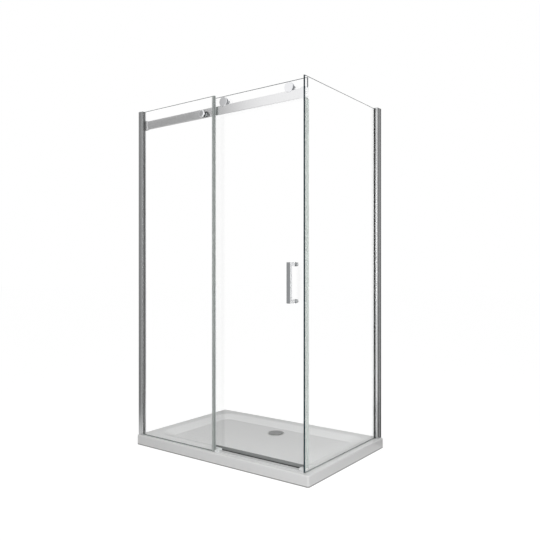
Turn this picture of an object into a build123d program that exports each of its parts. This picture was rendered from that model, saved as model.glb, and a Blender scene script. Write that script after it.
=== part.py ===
from build123d import *
import os
from math import sqrt

# Walk-in shower enclosure: a low tray, a fixed glass front and a glass side held in wall profiles,
# and a glass door that hangs on two grooved rollers and rolls along a flat stainless rail.
# X runs to the right along the front, Y from the open front to the back wall, Z up from the floor.
# The origin is the middle of the tray's underside. The walls stand at the left (-X) and the back (+Y).

os.makedirs("parts", exist_ok=True)

# Shower tray
tray_width = 1200.0
tray_depth = 800.0
tray_height = 56.0
tray_corner_r = 12.0
tray_edge_r = 6.0
rim_side = 62.0
rim_front = 96.0
rim_back = 62.0
basin_depth = 20.0
basin_slope = 70.0
basin_corner_r = 110.0
basin_blend_r = 60.0
tray_skin = 16.0
tray_skirt = 38.0
rib_pitch_x = 160.0
rib_pitch_y = 180.0
rib_thickness = 12.0

# Waste in the tray floor
drain_from_back = 228.0
drain_hole_r = 30.0
drain_recess_r = 52.0
drain_recess_depth = 6.0
drain_boss_wall = 12.0
drain_pocket_r = 58.0
waste_bore_r = 26.0
waste_fit = 0.5
waste_flange_r = 46.0
waste_flange_t = 2.0
waste_tube_reach = 6.0
waste_body_r = 42.0
waste_body_flange_t = 3.0
waste_seal_t = 2.0
waste_wall = 3.3
sump_depth = 4.7
sump_floor_t = 3.0
outlet_bore_r = 20.0
outlet_wall = 4.0
floor_clearance = 1.0
cover_r = 44.0
cover_t = 4.0
cover_edge_r = 1.5
cover_foot_r = 3.0
cover_foot_circle_r = 36.0
cover_foot_height = 5.0
rest_gap = 0.3
stem_r = 5.0
strainer_r = 24.5
strainer_wall = 1.5
strainer_rim_r = 29.0
strainer_depth = 16.0
strainer_hole_r = 2.8
strainer_hole_circle_r = 15.0
strainer_holes = 8

# Glass panels
glass_t = 8.0
glass_arris = 0.8
front_inset = 20.0
side_inset = 34.0
sill_t = 4.0
panel_height = 1895.0
fixed_reach = 590.5
door_overlap = 40.5
closing_gap = 6.0
door_raise = 12.0

# Wall profiles: a channel on the wall, and a glass profile that telescopes in it
profile_over_glass = 1.0
profile_reach = 31.5
left_nose = 34.0
right_nose = 46.0
profile_wall = 1.5
profile_fit = 0.25
glass_side_margin = 4.0
glass_side_gap = 2.5
wide_side_gap = 7.0
chamber_width = 8.0
pocket_depth = 20.0
pocket_play = 4.0
nose_r = 3.0
channel_reach = 22.0
channel_back = 2.0
cap_t = 3.0
cap_peg_length = 10.0
cap_peg_fit = 0.25
gasket_grip = 8.0
gasket_tip_r = 1.0
wall_hole_r = 3.0
wall_hole_t = 11.0
wall_hole_from_end = 110.0
wall_hole_count = 4
lock_screw_s = 19.0
lock_screw_from_end = 200.0
lock_screw_count = 3
lock_screw_r = 2.0
lock_screw_head_r = 4.0
lock_screw_head_t = 2.5
lock_screw_length = 5.25
screw_play = 0.1

# Slide rail and what carries it
rail_height = 47.0
rail_t = 12.0
rail_edge = 1.0
rail_gap = 8.0
rail_door_gap = 10.0
rail_top_drop = 55.0
rail_pad_length = 6.0
rail_pad_inset = 1.0
wall_socket_length = 22.0
wall_socket_wall = 2.5
socket_web = 6.0
socket_screw_r = 2.0
socket_screw_head_r = 3.5
socket_screw_head_t = 2.5
socket_screw_end = 2.0
socket_screw_spread = 26.0
socket_fit = 0.3
socket_lip = 3.0
glass_socket_length = 21.0
glass_socket_web = 5.0
glass_socket_wall = 8.0
bond_pad_t = 1.0
grub_r = 2.0
grub_spread = 23.0
glass_grub_length = 7.0
socket_edge_r = 1.0
bond_pad_inset = 1.0
clamp_inset = 79.5
clamp_drop = 30.0
clamp_cap_r = 19.0
clamp_cap_t = 7.0
clamp_cap_edge = 5.0
clamp_collar_t = 9.0
clamp_collar_inset = 0.5
clamp_washer_t = 1.0
clamp_spacer_r = 12.0
clamp_hole_r = 10.0
clamp_bolt_r = 4.0
clamp_cap_grip = 4.0
clamp_rail_grip = 10.0
bush_play = 0.2

# Rollers on the door
roller_inset = 90.0
wheel_flange_r = 25.0
wheel_tread_r = 18.0
wheel_width = 18.0
wheel_side_play = 0.3
wheel_edge = 1.0
tyre_t = 2.8
tyre_play = 0.2
tyre_edge = 0.5
wheel_front_t = 5.0
bearing_r = 11.0
bearing_t = 7.0
bearing_sink = 1.0
bearing_shield_in = 6.0
bearing_shield_out = 9.5
bearing_shield_sink = 0.5
axle_r = 4.0
axle_play = 0.05
nut_cavity_r = 8.0
nut_r = 6.5
nut_t = 4.0
collar_r = 7.0
roller_hole_r = 8.0
roller_washer_r = 15.0
washer_t = 1.0
back_cap_r = 17.0
back_cap_t = 9.0
back_cap_edge = 1.5
back_cap_grip = 6.0

# Door stops on the rail
door_travel = 470.0
stop_length = 19.0
stop_bumper_t = 4.0
stop_t = 7.0
stop_below_rail_top = 20.0
stop_rise = 3.5
stop_touch = 0.5
stop_edge_r = 1.5
stop_screw_r = 2.5
stop_screw_head_r = 4.4
stop_screw_head_t = 3.0
stop_screw_grip = 5.0

# Handle
handle_height = 962.5
handle_length = 200.0
handle_bar_width = 23.0
handle_bar_t = 16.0
handle_edge = 1.0
handle_post = 19.0
handle_from_edge = 61.0
handle_standoff = 34.0
inner_cap_r = 11.0
inner_cap_t = 14.0
inner_cap_edge = 1.5
handle_hole_r = 6.0
handle_screw_r = 3.0
handle_screw_grip = 8.0
handle_washer_r = 9.0

# Clear seals
seal_wall = 1.5
seal_leg = 15.0
edge_seal_end = 2.0
edge_seal_fin = 2.5
left_seal_leg = 10.0
left_lip_t = 1.5
left_lip_root = 4.0
left_lip_tip = 17.0
left_lip_clearance = 0.5
closing_seal_bulb_r = 2.0
bulb_wall = 1.2
strike_leg = 25.0
strike_fin = 12.0
strike_clearance = 2.0
seal_below_rail = 5.0
bottom_seal_leg = 12.0
bottom_seal_base = 2.0
bottom_seal_fin_t = 2.0
bottom_seal_fin_drop = 7.0
seal_end_gap = 0.5

# Bottom guide and threshold
guide_length = 40.0
guide_left_of_edge = 12.5
guide_base_t = 2.5
guide_height = 17.0
guide_cheek_t = 5.0
guide_liner_t = 2.0
guide_slot = 12.0
guide_toe = 3.0
guide_foot_height = 10.0
guide_foot_gap = 0.5
guide_edge_r = 1.0
guide_flange = 11.0
guide_screw_r = 2.0
guide_screw_head_r = 4.0
guide_screw_head_t = 1.5
guide_screw_spread = 20.0
guide_screw_grip = 12.0
threshold_t = 6.0
threshold_front = 4.0
threshold_back = 4.0
threshold_bevel = 3.0
threshold_end_gap = 0.5
end_block_length = 30.0
end_block_height = 18.0
end_block_front = 10.0
end_block_edge = 1.0

# Places worked out from the sizes above
wall_x = -tray_width / 2
wall_y = tray_depth / 2
floor_z = tray_height - basin_depth
drain_y = wall_y - drain_from_back
recess_z = floor_z - drain_recess_depth
under_z = floor_z - tray_skin
glass_low = tray_height + sill_t
glass_top = glass_low + panel_height
profile_length = glass_top + profile_over_glass - tray_height
fixed_front = -tray_depth / 2 + front_inset
fixed_rear = fixed_front + glass_t
side_outer = tray_width / 2 - side_inset
side_inner = side_outer - glass_t
fixed_right = wall_x + fixed_reach
door_left = fixed_right - door_overlap
door_right = side_inner - closing_gap
rail_front = fixed_rear + rail_gap
rail_rear = rail_front + rail_t
rail_mid = (rail_front + rail_rear) / 2
rail_top = glass_top - rail_top_drop
rail_low = rail_top - rail_height
rail_centre_z = (rail_low + rail_top) / 2
door_front = rail_rear + rail_door_gap
door_rear = door_front + glass_t
door_mid = (door_front + door_rear) / 2
door_low = tray_height + door_raise
axle_z = rail_top + wheel_tread_r
left_roller_x = door_left + roller_inset
right_roller_x = door_right - roller_inset
guide_left = fixed_right - guide_left_of_edge
guide_right = guide_left + guide_length
guide_middle = (guide_left + guide_right) / 2
liner_half = guide_slot / 2 + guide_liner_t
cheek_half = liner_half + guide_cheek_t
guide_base_top = tray_height + guide_base_t
guide_top = tray_height + guide_height
guide_screw_y = door_mid + cheek_half + guide_flange / 2
clamp_x = fixed_right - clamp_inset
clamp_z = rail_top - clamp_drop
pocket_wide_t = glass_t + wide_side_gap
profile_wide_t = pocket_wide_t + profile_wall + chamber_width + profile_wall
narrow_out = -glass_side_margin
sides = {"left": left_nose, "right": right_nose}

BACK = (0, 1, 0)
UP = (0, 0, 1)


def finish(piece, label):
    """Name a finished piece and write its file."""
    piece.part.label = label
    export_step(piece.part, f"parts/{label}.step")


def facing(y):
    """Sketch plane across the front at depth y: its X and Y run along X and Z."""
    return Plane.XZ.offset(-y)


def span(x_low, x_high, y_low, y_high, mode=Mode.ADD):
    """A rectangle between two corners in the sketch in hand."""
    with Locations(((x_low + x_high) / 2, (y_low + y_high) / 2)):
        Rectangle(x_high - x_low, y_high - y_low, mode=mode)


def wall_plane(side, height):
    """Section plane of a wall side: X runs off the wall, Y across from the glass's narrow side."""
    if side == "left":
        return Plane(origin=(wall_x, fixed_front, height), x_dir=(1, 0, 0), z_dir=UP)
    return Plane(origin=(side_inner, wall_y, height), x_dir=(0, -1, 0), z_dir=UP)


# The tray is one moulding: a slab with a shallow basin, and ribs under its floor.
basin_y = (rim_front - rim_back) / 2
basin_width = tray_width - 2 * rim_side
basin_length = tray_depth - rim_front - rim_back
pocket_count_x = int((tray_width - 2 * tray_skirt) / rib_pitch_x)
pocket_count_y = int((tray_depth - 2 * tray_skirt) / rib_pitch_y)

with BuildPart() as shower_tray:
    with BuildSketch():
        RectangleRounded(tray_width, tray_depth, tray_corner_r)
    extrude(amount=tray_height)
    fillet(shower_tray.faces().sort_by(Axis.Z)[-1].edges(), tray_edge_r)
    with BuildSketch(Plane.XY.offset(tray_height)):
        with Locations((0, basin_y)):
            RectangleRounded(basin_width, basin_length, basin_corner_r)
    with BuildSketch(Plane.XY.offset(floor_z)):
        with Locations((0, basin_y)):
            RectangleRounded(basin_width - 2 * basin_slope, basin_length - 2 * basin_slope,
                             basin_corner_r - basin_slope)
    loft(mode=Mode.SUBTRACT)
    fillet(shower_tray.faces().sort_by(Axis.Z)[-1].inner_wires()[0].edges(), basin_blend_r)
    with BuildSketch(Plane.XY.offset(floor_z)):
        with Locations((0, drain_y)):
            Circle(drain_recess_r)
    extrude(amount=-drain_recess_depth, mode=Mode.SUBTRACT)
    with BuildSketch():
        with GridLocations(rib_pitch_x, rib_pitch_y, pocket_count_x, pocket_count_y):
            Rectangle(rib_pitch_x - rib_thickness, rib_pitch_y - rib_thickness)
        with Locations((0, drain_y)):
            Circle(drain_pocket_r + drain_boss_wall, mode=Mode.SUBTRACT)
            Circle(drain_pocket_r)
    extrude(amount=under_z, mode=Mode.SUBTRACT)
    with BuildSketch():
        with Locations((0, drain_y)):
            Circle(drain_hole_r)
    extrude(amount=floor_z, mode=Mode.SUBTRACT)
    with BuildSketch(Plane.XY.offset(guide_base_top - guide_screw_grip)):
        with Locations((guide_middle, guide_screw_y)):
            with GridLocations(guide_screw_spread, 1, 2, 1):
                Circle(guide_screw_r + screw_play)
    extrude(amount=guide_screw_grip, mode=Mode.SUBTRACT)
finish(shower_tray, "shower_tray")

# The waste clamps the tray's drain hole between a flange from above and a body from below.
drain_axis = Axis((0, drain_y, 0), UP)
waste_tube_r = drain_hole_r - waste_fit
flange_top = recess_z + waste_flange_t
tube_low = under_z - waste_tube_reach
body_top = under_z - waste_seal_t
body_bore_r = waste_tube_r + bush_play
body_step_z = tube_low - rest_gap
sump_z = body_step_z - sump_depth
outlet_low = floor_clearance
sump_outer_r = body_bore_r + waste_wall

with BuildPart() as waste_flange:
    with BuildSketch(Plane.XY.offset(tube_low)):
        with Locations((0, drain_y)):
            Circle(waste_tube_r)
    extrude(amount=recess_z - tube_low)
    with BuildSketch(Plane.XY.offset(recess_z)):
        with Locations((0, drain_y)):
            Circle(waste_flange_r)
    extrude(amount=waste_flange_t)
    with BuildSketch(Plane.XY.offset(tube_low)):
        with Locations((0, drain_y)):
            Circle(waste_bore_r)
    extrude(amount=flange_top - tube_low, mode=Mode.SUBTRACT)
finish(waste_flange, "waste_flange")

with BuildPart() as waste_seal_ring:
    with BuildSketch(Plane.XY.offset(body_top)):
        with Locations((0, drain_y)):
            Circle(waste_body_r)
            Circle(drain_hole_r, mode=Mode.SUBTRACT)
    extrude(amount=waste_seal_t)
finish(waste_seal_ring, "waste_seal_ring")

with BuildPart() as waste_body:
    with BuildSketch(Plane.XZ.offset(-drain_y)):
        with BuildLine():
            Polyline((outlet_bore_r, outlet_low), (outlet_bore_r + outlet_wall, outlet_low),
                     (outlet_bore_r + outlet_wall, sump_z - sump_floor_t),
                     (sump_outer_r, sump_z - sump_floor_t),
                     (sump_outer_r, body_top - waste_body_flange_t),
                     (waste_body_r, body_top - waste_body_flange_t), (waste_body_r, body_top),
                     (body_bore_r, body_top), (body_bore_r, body_step_z),
                     (waste_bore_r, body_step_z), (waste_bore_r, sump_z),
                     (outlet_bore_r, sump_z), close=True)
        make_face()
    revolve(axis=drain_axis)
finish(waste_body, "waste_body")

# The cover stands on three feet, and its stem carries the hair strainer that hangs in the waste.
cover_low = flange_top + rest_gap + cover_foot_height
strainer_top = flange_top + rest_gap + strainer_wall
strainer_low = strainer_top - strainer_depth

with BuildPart() as drain_cover:
    with BuildSketch(Plane.XY.offset(cover_low)):
        with Locations((0, drain_y)):
            Circle(cover_r)
    extrude(amount=cover_t)
    fillet(drain_cover.edges().group_by(Axis.Z)[-1], cover_edge_r)
    with BuildSketch(Plane.XY.offset(cover_low)):
        with Locations((0, drain_y)):
            with PolarLocations(cover_foot_circle_r, 3, start_angle=90):
                Circle(cover_foot_r)
    extrude(amount=-cover_foot_height)
    with BuildSketch(Plane.XY.offset(cover_low)):
        with Locations((0, drain_y)):
            Circle(stem_r)
    extrude(amount=strainer_low + strainer_wall - cover_low)
finish(drain_cover, "drain_cover")

with BuildPart() as hair_strainer:
    with BuildSketch(Plane.XY.offset(strainer_low)):
        with Locations((0, drain_y)):
            Circle(strainer_r)
    extrude(amount=strainer_depth)
    with BuildSketch(Plane.XY.offset(strainer_top)):
        with Locations((0, drain_y)):
            Circle(strainer_rim_r)
    extrude(amount=-strainer_wall)
    with BuildSketch(Plane.XY.offset(strainer_low + strainer_wall)):
        with Locations((0, drain_y)):
            Circle(strainer_r - strainer_wall)
    extrude(amount=strainer_depth, mode=Mode.SUBTRACT)
    with BuildSketch(Plane.XY.offset(strainer_low)):
        with Locations((0, drain_y)):
            with PolarLocations(strainer_hole_circle_r, strainer_holes):
                Circle(strainer_hole_r)
    extrude(amount=strainer_wall, mode=Mode.SUBTRACT)
finish(hair_strainer, "hair_strainer")

# Wall side, made twice: each channel is screwed to its wall, the glass profile slides in it to
# take up the wall's slope, and two rubber gaskets hold the glass in the profile's pocket.
wall_hole_pitch = (profile_length - 2 * wall_hole_from_end) / (wall_hole_count - 1)
lock_screw_pitch = (profile_length - 2 * lock_screw_from_end) / (lock_screw_count - 1)
wall_hole_heights = [tray_height + wall_hole_from_end + wall_hole_pitch * step
                     for step in range(wall_hole_count)]
lock_screw_heights = [tray_height + lock_screw_from_end + lock_screw_pitch * step
                      for step in range(lock_screw_count)]
channel_narrow = narrow_out - profile_fit
channel_wide = profile_wide_t + profile_fit
chamber_low = pocket_wide_t + profile_wall
chamber_high = profile_wide_t - profile_wall
profile_top = tray_height + profile_length
socket_screw_y = fixed_front + (chamber_low + chamber_high) / 2


def lock_screw_plane(side):
    """Plane on the channel's room side at the lock screws: its X runs up and its Z into the channel."""
    section = wall_plane(side, 0)
    if side == "left":
        surface_t = channel_wide + profile_wall
        inward = -section.y_dir
    else:
        surface_t = channel_narrow - profile_wall
        inward = section.y_dir
    origin = section.from_local_coords(Vector(lock_screw_s, surface_t, 0))
    return Plane(origin=origin, x_dir=UP, z_dir=inward)


def nose_outline(nose):
    """Outer outline of a glass profile, rounded at the nose on its wide side."""
    with BuildSketch() as outline:
        span(nose - profile_reach, nose, narrow_out, profile_wide_t)
        fillet(outline.vertices().sort_by_distance((nose, profile_wide_t))[0], nose_r)
    return outline.sketch


def chamber_outline(nose):
    """Outline of the hollow behind a glass profile's wide side, rounded with the nose."""
    with BuildSketch() as outline:
        span(nose - pocket_depth, nose - profile_wall, chamber_low, chamber_high)
        fillet(outline.vertices().sort_by_distance((nose - profile_wall, chamber_high))[0],
               nose_r - profile_wall)
    return outline.sketch


for side, nose in sides.items():
    section = wall_plane(side, tray_height)
    hole_origin = wall_plane(side, 0).from_local_coords(Vector(0, wall_hole_t, 0))
    wall_face = Plane(origin=hole_origin, x_dir=UP, z_dir=section.x_dir)

    with BuildPart() as wall_channel:
        with BuildSketch(section):
            span(0, channel_reach, channel_narrow - profile_wall, channel_wide + profile_wall)
            span(channel_back, channel_reach, channel_narrow, channel_wide, Mode.SUBTRACT)
        extrude(amount=profile_length)
        with BuildSketch(wall_face):
            with Locations(*[(height, 0) for height in wall_hole_heights]):
                Circle(wall_hole_r)
        extrude(amount=channel_back, mode=Mode.SUBTRACT)
        with BuildSketch(lock_screw_plane(side)):
            with Locations(*[(height, 0) for height in lock_screw_heights]):
                Circle(lock_screw_r + screw_play)
        extrude(amount=profile_wall, mode=Mode.SUBTRACT)
    finish(wall_channel, f"{side}_wall_channel")

    with BuildPart() as glass_profile:
        with BuildSketch(section):
            add(nose_outline(nose))
            add(chamber_outline(nose), mode=Mode.SUBTRACT)
            span(nose - pocket_depth, nose, -glass_side_gap, pocket_wide_t, Mode.SUBTRACT)
            span(nose - profile_reach + profile_wall, nose - pocket_depth - profile_wall,
                 -glass_side_gap, chamber_high, Mode.SUBTRACT)
        extrude(amount=profile_length)
        with BuildSketch(lock_screw_plane(side)):
            with Locations(*[(height, 0) for height in lock_screw_heights]):
                Circle(lock_screw_r + screw_play)
        extrude(amount=profile_wall + profile_fit + profile_wall, mode=Mode.SUBTRACT)
        if side == "left":
            with BuildSketch(Plane.YZ.offset(wall_x + nose - profile_wall)):
                with Locations((socket_screw_y, rail_centre_z)):
                    with GridLocations(1, socket_screw_spread, 1, 2):
                        Circle(socket_screw_r + screw_play)
            extrude(amount=profile_wall, mode=Mode.SUBTRACT)
    finish(glass_profile, f"{side}_glass_profile")

    with BuildPart() as profile_cap:
        with BuildSketch(wall_plane(side, profile_top)):
            span(0, channel_reach, channel_narrow - profile_wall, channel_wide + profile_wall)
            add(nose_outline(nose))
        extrude(amount=cap_t)
        with BuildSketch(wall_plane(side, profile_top)):
            span(nose - nose_r - cap_peg_length, nose - nose_r,
                 chamber_low + cap_peg_fit, chamber_high - cap_peg_fit)
        extrude(amount=-cap_peg_length)
    finish(profile_cap, f"{side}_profile_cap")

with BuildPart() as glass_gaskets:
    for side, nose in sides.items():
        with BuildSketch(wall_plane(side, tray_height)) as lips:
            span(nose - gasket_grip, nose, -glass_side_gap, 0)
            span(nose - gasket_grip, nose, glass_t, pocket_wide_t)
            fillet(lips.vertices().group_by(Axis.X)[-1], gasket_tip_r)
        extrude(amount=profile_length)
finish(glass_gaskets, "glass_gaskets")

with BuildPart() as profile_screws:
    for side in sides:
        with BuildSketch(lock_screw_plane(side)):
            with Locations(*[(height, 0) for height in lock_screw_heights]):
                Circle(lock_screw_head_r)
        extrude(amount=-lock_screw_head_t)
        with BuildSketch(lock_screw_plane(side)):
            with Locations(*[(height, 0) for height in lock_screw_heights]):
                Circle(lock_screw_r)
        extrude(amount=lock_screw_length)
finish(profile_screws, "profile_screws")

# Fixed panels: each stands on a clear sill strip, with its wall edge in a profile's pocket.
fixed_left = wall_x + left_nose - pocket_depth + pocket_play
side_back = wall_y - right_nose + pocket_depth - pocket_play

with BuildPart() as fixed_glass:
    with BuildSketch(facing(fixed_front)):
        span(fixed_left, fixed_right, glass_low, glass_top)
    extrude(amount=glass_t, dir=BACK)
    chamfer(fixed_glass.faces().filter_by(Axis.Y).edges(), glass_arris)
    with BuildSketch(facing(fixed_front)):
        with Locations((clamp_x, clamp_z)):
            Circle(clamp_hole_r)
    extrude(amount=glass_t, dir=BACK, mode=Mode.SUBTRACT)
finish(fixed_glass, "fixed_glass")

with BuildPart() as side_glass:
    with BuildSketch(Plane.YZ.offset(side_inner)):
        span(fixed_front, side_back, glass_low, glass_top)
    extrude(amount=glass_t)
    chamfer(side_glass.faces().filter_by(Axis.X).edges(), glass_arris)
finish(side_glass, "side_glass")

with BuildPart() as fixed_glass_sill:
    with BuildSketch(Plane.XY.offset(tray_height)):
        span(fixed_left, fixed_right, fixed_front, fixed_rear)
    extrude(amount=sill_t)
finish(fixed_glass_sill, "fixed_glass_sill")

with BuildPart() as side_glass_sill:
    with BuildSketch(Plane.XY.offset(tray_height)):
        span(side_inner, side_outer, fixed_front, side_back)
    extrude(amount=sill_t)
finish(side_glass_sill, "side_glass_sill")

with BuildPart() as fixed_glass_edge_seal:
    with BuildSketch(Plane.XY.offset(glass_low)):
        seal_end = fixed_right + edge_seal_end
        span(fixed_right - seal_leg, seal_end, fixed_front - seal_wall, fixed_rear + seal_wall)
        span(fixed_right - seal_leg, fixed_right, fixed_front, fixed_rear, Mode.SUBTRACT)
        span(seal_end - seal_wall, seal_end, fixed_rear + seal_wall,
             fixed_rear + seal_wall + edge_seal_fin)
    extrude(amount=panel_height)
finish(fixed_glass_edge_seal, "fixed_glass_edge_seal")

# The rail lies between a socket on the left profile and a socket bonded to the side glass.
left_nose_x = wall_x + left_nose
rail_left = left_nose_x + socket_web
bond_face = side_inner - bond_pad_t
rail_right = bond_face - glass_socket_web
wall_grub_x = (rail_left + left_nose_x + wall_socket_length) / 2
glass_grub_x = (rail_right + bond_face - glass_socket_length) / 2
stop_top = rail_top + stop_rise
stop_low = rail_top - stop_below_rail_top
stop_z = (stop_low + stop_top) / 2
stop_chord = sqrt(wheel_flange_r ** 2 - (axle_z - stop_top) ** 2)
closing_face = right_roller_x + stop_chord + stop_touch
opening_face = left_roller_x - door_travel - stop_chord - stop_touch
stop_block_middle = stop_bumper_t + stop_length / 2
stop_points = [(closing_face + stop_block_middle, stop_z), (opening_face - stop_block_middle, stop_z)]

with BuildPart() as slide_rail:
    with BuildSketch(facing(rail_front)):
        span(rail_left, rail_right, rail_low, rail_top)
    extrude(amount=rail_t, dir=BACK)
    chamfer(slide_rail.edges().filter_by(Axis.X), rail_edge)
    with BuildSketch(facing(rail_front)):
        with Locations((clamp_x, clamp_z)):
            Circle(clamp_bolt_r + screw_play)
    extrude(amount=clamp_rail_grip, dir=BACK, mode=Mode.SUBTRACT)
    with BuildSketch(facing(rail_rear - stop_screw_grip)):
        with Locations(*stop_points):
            Circle(stop_screw_r + screw_play)
    extrude(amount=stop_screw_grip, dir=BACK, mode=Mode.SUBTRACT)
finish(slide_rail, "slide_rail")

with BuildPart() as rail_wall_pad:
    with BuildSketch(Plane.XY.offset(rail_low + rail_pad_inset)):
        span(left_nose_x, left_nose_x + rail_pad_length, fixed_rear, rail_front - wall_socket_wall)
    extrude(amount=rail_height - 2 * rail_pad_inset)
finish(rail_wall_pad, "rail_wall_pad")

socket_low = rail_low - socket_lip
socket_high = rail_top + socket_lip
socket_head_x = rail_left - socket_screw_head_t

with BuildPart() as rail_wall_bracket:
    with BuildSketch(Plane.YZ.offset(left_nose_x)):
        span(rail_front - wall_socket_wall, rail_rear + wall_socket_wall, socket_low, socket_high)
    extrude(amount=wall_socket_length)
    fillet(rail_wall_bracket.edges().filter_by(Axis.X), socket_edge_r)
    with BuildSketch(Plane.YZ.offset(rail_left)):
        span(rail_front - socket_fit, rail_rear + socket_fit, rail_low - socket_fit, rail_top + socket_fit)
    extrude(amount=wall_socket_length, mode=Mode.SUBTRACT)
    with BuildSketch(facing(rail_rear)):
        with Locations((wall_grub_x, rail_centre_z)):
            with GridLocations(1, grub_spread, 1, 2):
                Circle(grub_r + screw_play)
    extrude(amount=wall_socket_wall, dir=BACK, mode=Mode.SUBTRACT)
    with BuildSketch(Plane.YZ.offset(left_nose_x)):
        with Locations((socket_screw_y, rail_centre_z)):
            with GridLocations(1, socket_screw_spread, 1, 2):
                Circle(socket_screw_r + screw_play)
    extrude(amount=socket_web, mode=Mode.SUBTRACT)
    with BuildSketch(Plane.YZ.offset(socket_head_x)):
        with Locations((socket_screw_y, rail_centre_z)):
            with GridLocations(1, socket_screw_spread, 1, 2):
                Circle(socket_screw_head_r + screw_play)
    extrude(amount=socket_screw_head_t, mode=Mode.SUBTRACT)
finish(rail_wall_bracket, "rail_wall_bracket")

with BuildPart() as rail_glass_bracket:
    with BuildSketch(Plane.YZ.offset(bond_face - glass_socket_length)):
        span(rail_front - glass_socket_wall, rail_rear + glass_socket_wall, socket_low, socket_high)
    extrude(amount=glass_socket_length)
    fillet(rail_glass_bracket.edges().filter_by(Axis.X), socket_edge_r)
    with BuildSketch(Plane.YZ.offset(rail_right)):
        span(rail_front - socket_fit, rail_rear + socket_fit, rail_low - socket_fit, rail_top + socket_fit)
    extrude(amount=-glass_socket_length, mode=Mode.SUBTRACT)
    with BuildSketch(facing(rail_rear)):
        with Locations((glass_grub_x, rail_centre_z)):
            with GridLocations(1, grub_spread, 1, 2):
                Circle(grub_r + screw_play)
    extrude(amount=glass_socket_wall, dir=BACK, mode=Mode.SUBTRACT)
finish(rail_glass_bracket, "rail_glass_bracket")

with BuildPart() as rail_bracket_bond_pad:
    with BuildSketch(Plane.YZ.offset(bond_face)):
        span(rail_front - glass_socket_wall + bond_pad_inset,
             rail_rear + glass_socket_wall - bond_pad_inset,
             socket_low + bond_pad_inset, socket_high - bond_pad_inset)
    extrude(amount=bond_pad_t)
finish(rail_bracket_bond_pad, "rail_bracket_bond_pad")

# Grub screws behind press the rail into both sockets, and two screws hold the left socket to the nose.
with BuildPart() as rail_grub_screws:
    for grub_x, grub_length in ((wall_grub_x, wall_socket_wall), (glass_grub_x, glass_grub_length)):
        with BuildSketch(facing(rail_rear)):
            with Locations((grub_x, rail_centre_z)):
                with GridLocations(1, grub_spread, 1, 2):
                    Circle(grub_r)
        extrude(amount=grub_length, dir=BACK)
    with BuildSketch(Plane.YZ.offset(socket_head_x)):
        with Locations((socket_screw_y, rail_centre_z)):
            with GridLocations(1, socket_screw_spread, 1, 2):
                Circle(socket_screw_head_r)
    extrude(amount=socket_screw_head_t)
    with BuildSketch(Plane.YZ.offset(left_nose_x - profile_wall - socket_screw_end)):
        with Locations((socket_screw_y, rail_centre_z)):
            with GridLocations(1, socket_screw_spread, 1, 2):
                Circle(socket_screw_r)
    extrude(amount=socket_head_x - left_nose_x + profile_wall + socket_screw_end)
finish(rail_grub_screws, "rail_grub_screws")

# Between the sockets the fixed glass carries the rail on one point clamp: a domed cap on a rubber
# collar in front of the glass, and a spacer behind it, drawn together by one bolt.
cap_rear = fixed_front - clamp_collar_t
cap_front = cap_rear - clamp_cap_t

with BuildPart() as clamp_cap:
    with BuildSketch(facing(cap_front)):
        with Locations((clamp_x, clamp_z)):
            Circle(clamp_cap_r)
    extrude(amount=clamp_cap_t, dir=BACK)
    fillet(clamp_cap.edges().sort_by(Axis.Y)[0], clamp_cap_edge)
    with BuildSketch(facing(cap_rear - clamp_cap_grip)):
        with Locations((clamp_x, clamp_z)):
            Circle(clamp_bolt_r + screw_play)
    extrude(amount=clamp_cap_grip, dir=BACK, mode=Mode.SUBTRACT)
finish(clamp_cap, "clamp_cap")

with BuildPart() as clamp_washers:
    for washer_y, washer_r, washer_depth in ((cap_rear, clamp_cap_r - clamp_collar_inset, clamp_collar_t),
                                             (fixed_rear, clamp_spacer_r, clamp_washer_t)):
        with BuildSketch(facing(washer_y)):
            with Locations((clamp_x, clamp_z)):
                Circle(washer_r)
                Circle(clamp_bolt_r + bush_play, mode=Mode.SUBTRACT)
        extrude(amount=washer_depth, dir=BACK)
finish(clamp_washers, "clamp_washers")

with BuildPart() as clamp_spacer:
    with BuildSketch(facing(fixed_rear + clamp_washer_t)):
        with Locations((clamp_x, clamp_z)):
            Circle(clamp_spacer_r)
            Circle(clamp_bolt_r + bush_play, mode=Mode.SUBTRACT)
    extrude(amount=rail_gap - clamp_washer_t, dir=BACK)
finish(clamp_spacer, "clamp_spacer")

with BuildPart() as clamp_bolt:
    with BuildSketch(facing(cap_rear - clamp_cap_grip)):
        with Locations((clamp_x, clamp_z)):
            Circle(clamp_bolt_r)
    extrude(amount=clamp_cap_grip + rail_front - cap_rear + clamp_rail_grip, dir=BACK)
finish(clamp_bolt, "clamp_bolt")

with BuildPart() as clamp_bush:
    with BuildSketch(facing(fixed_front)):
        with Locations((clamp_x, clamp_z)):
            Circle(clamp_hole_r - bush_play)
            Circle(clamp_bolt_r + bush_play, mode=Mode.SUBTRACT)
    extrude(amount=glass_t, dir=BACK)
finish(clamp_bush, "clamp_bush")

# Two stops on the rail's back meet the rollers' rear flanges at the ends of the door's travel.
with BuildPart() as door_stops:
    with BuildSketch(facing(rail_rear)):
        with Locations(*stop_points):
            RectangleRounded(stop_length, stop_top - stop_low, stop_edge_r)
    extrude(amount=stop_t, dir=BACK)
    with BuildSketch(facing(rail_rear)):
        with Locations(*stop_points):
            Circle(stop_screw_r + screw_play)
    extrude(amount=stop_t, dir=BACK, mode=Mode.SUBTRACT)
    with BuildSketch(facing(rail_rear + stop_t - stop_screw_head_t)):
        with Locations(*stop_points):
            Circle(stop_screw_head_r + screw_play)
    extrude(amount=stop_screw_head_t, dir=BACK, mode=Mode.SUBTRACT)
finish(door_stops, "door_stops")

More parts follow.
